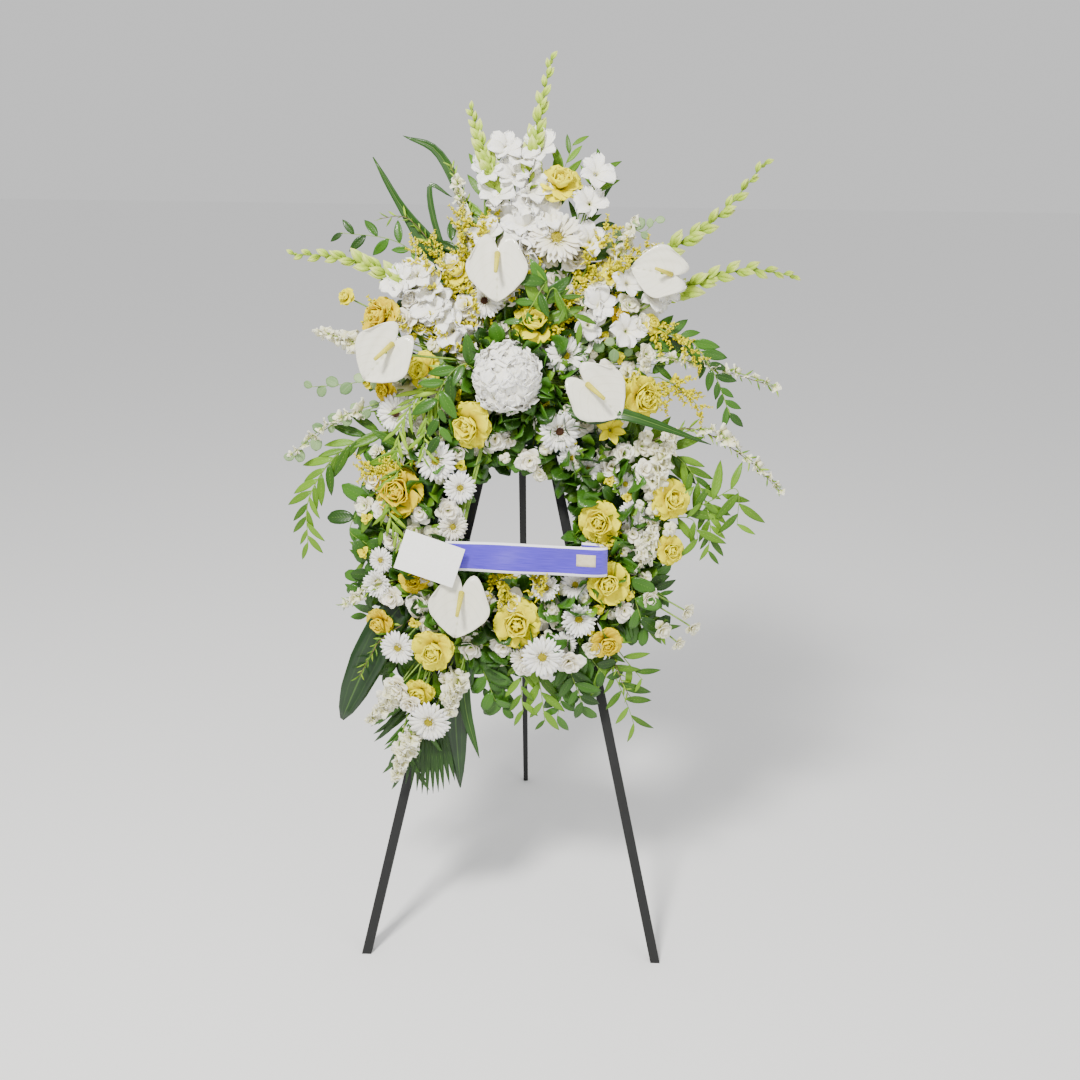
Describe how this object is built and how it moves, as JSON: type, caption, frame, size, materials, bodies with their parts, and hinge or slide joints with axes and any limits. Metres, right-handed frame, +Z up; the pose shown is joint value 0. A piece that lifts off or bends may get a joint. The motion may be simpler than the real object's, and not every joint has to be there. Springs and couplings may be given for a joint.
{
  "type": "funeral wreath on easel",
  "caption": "Round foam wreath dressed with cut flowers and greenery, a spray on its top, a ribbon and a card, on a folding three-legged easel.",
  "frame": {"origin": "middle of the object's footprint, on the floor under it", "axes": "+Z up, the wreath's face towards -Y, +X to the right of someone who looks at its face"},
  "size_m": [0.969, 0.7298, 1.7617],
  "materials": {
    "black_timber": "matt black paint on timber",
    "zinc_steel": "zinc plated",
    "green_plastic": "satin",
    "wet_foam": "matt, soaked",
    "rose_petal": "soft, faintly velvety",
    "gerbera_petal": "soft satin",
    "anthurium_spathe": "waxy gloss",
    "hydrangea_petal": "matt",
    "gladiolus_bud": "soft satin",
    "snapdragon_petal": "soft",
    "leaf": "satin leaf",
    "ribbon_cloth": "satin weave",
    "card_paper": "matt"
  },
  "bodies": {
    "front_frame_and_wreath": {"anthurium_far_right": "anthurium_spathe", "anthurium_left": "anthurium_spathe", "anthurium_low": "anthurium_spathe", "anthurium_right": "anthurium_spathe", "anthurium_top": "anthurium_spathe", "blade_leaf_right": "leaf", "branch_left": "leaf", "branch_right_high": "leaf", "branch_right_low": "leaf", "broad_leaf": "leaf", "card_pick": "green_plastic", "crest_foam": "wet_foam", "crest_tray": "green_plastic", "crossbar": "black_timber", "foam_ring": "wet_foam", "front_leg_left": "black_timber", "front_leg_right": "black_timber", "gerbera_crest_low": "gerbera_petal", "gerbera_crest_right": "gerbera_petal", "gerbera_crest_top": "gerbera_petal", "gerbera_ring_bottom": "gerbera_petal", "gerbera_ring_far_left": "gerbera_petal", "gerbera_ring_lower_right": "gerbera_petal", "gerbera_ring_upper_left": "gerbera_petal", "gerbera_tail": "gerbera_petal", "gladiolus_left": "gladiolus_bud", "gladiolus_right_high": "gladiolus_bud", "gladiolus_right_low": "gladiolus_bud", "gladiolus_top": "gladiolus_bud", "gladiolus_top_left": "gladiolus_bud", "greens_collar": "leaf", "greens_fan": "leaf", "hanging_leaf": "leaf", "head_block": "black_timber", "hinge_bolt": "zinc_steel", "hydrangea": "hydrangea_petal", "message_card": "card_paper", "palm_frond": "leaf", "ribbon": "ribbon_cloth", "ring_peg_left": "zinc_steel", "ring_peg_right": "zinc_steel", "ring_tray": "green_plastic", "rose_crest_centre": "rose_petal", "rose_crest_heart": "rose_petal", "rose_crest_high": "rose_petal", "rose_crest_left": "rose_petal", "rose_crest_low": "rose_petal", "rose_crest_right": "rose_petal", "rose_ring_bottom": "rose_petal", "rose_ring_far_right": "rose_petal", "rose_ring_inner_right": "rose_petal", "rose_ring_left": "rose_petal", "rose_ring_lower_left": "rose_petal", "rose_ring_right": "rose_petal", "snapdragon_left": "snapdragon_petal", "spear_leaf": "leaf", "wing_nut": "zinc_steel"},
    "rear_leg_body": {"rear_leg": "black_timber"}
  },
  "joints": [
    {"name": "rear_leg_fold", "type": "hinge", "parent": "front_frame_and_wreath", "child": "rear_leg_body", "pos_m": [-0.034, -0.0384, 1.23165], "axis": [1, 0, 0], "range_deg": [-28, 0]}
  ]
}
